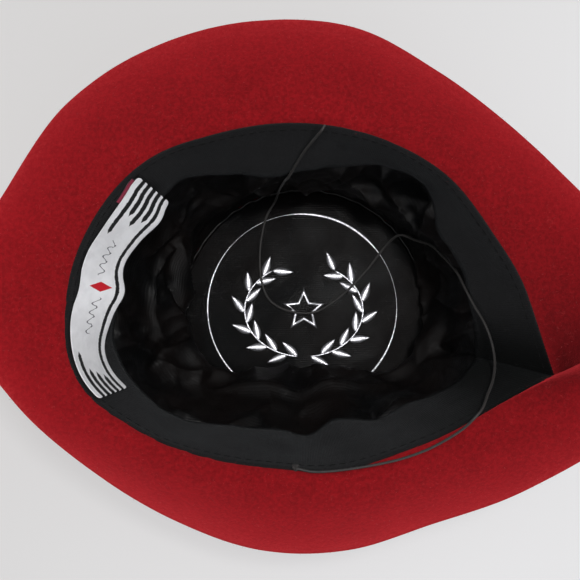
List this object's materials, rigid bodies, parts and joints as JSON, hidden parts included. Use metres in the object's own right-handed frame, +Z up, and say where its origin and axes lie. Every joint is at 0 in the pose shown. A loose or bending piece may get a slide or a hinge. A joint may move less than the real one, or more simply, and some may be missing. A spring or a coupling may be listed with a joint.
{
  "type": "mini top hat",
  "caption": "Small felt top hat lying upside down on its crown, with a curled, pinched brim, a lined and ribboned hollow, a label and a thin chin elastic.",
  "frame": {"origin": "under the middle of the hat's box, on the flat face that the crown stands on", "axes": "+Z up, out of the hat's opening; +X towards the hat's front, where the brim is pinched; +Y towards one side"},
  "size_m": [0.2082, 0.1672, 0.084],
  "materials": {
    "felt": "brushed wool felt, dark red",
    "ribbon": "matte black ribbed ribbon",
    "satin": "black satin, soft shine",
    "label": "white woven ribbon with black lines",
    "elastic": "round braided elastic, near black",
    "foil": "silver foil print on the satin"
  },
  "bodies": {
    "root": {"felt_body": "felt", "sweatband": "ribbon", "side_lining": "satin", "tip_lining": "satin", "label": "label", "elastic_cord": "elastic"}
  },
  "joints": []
}
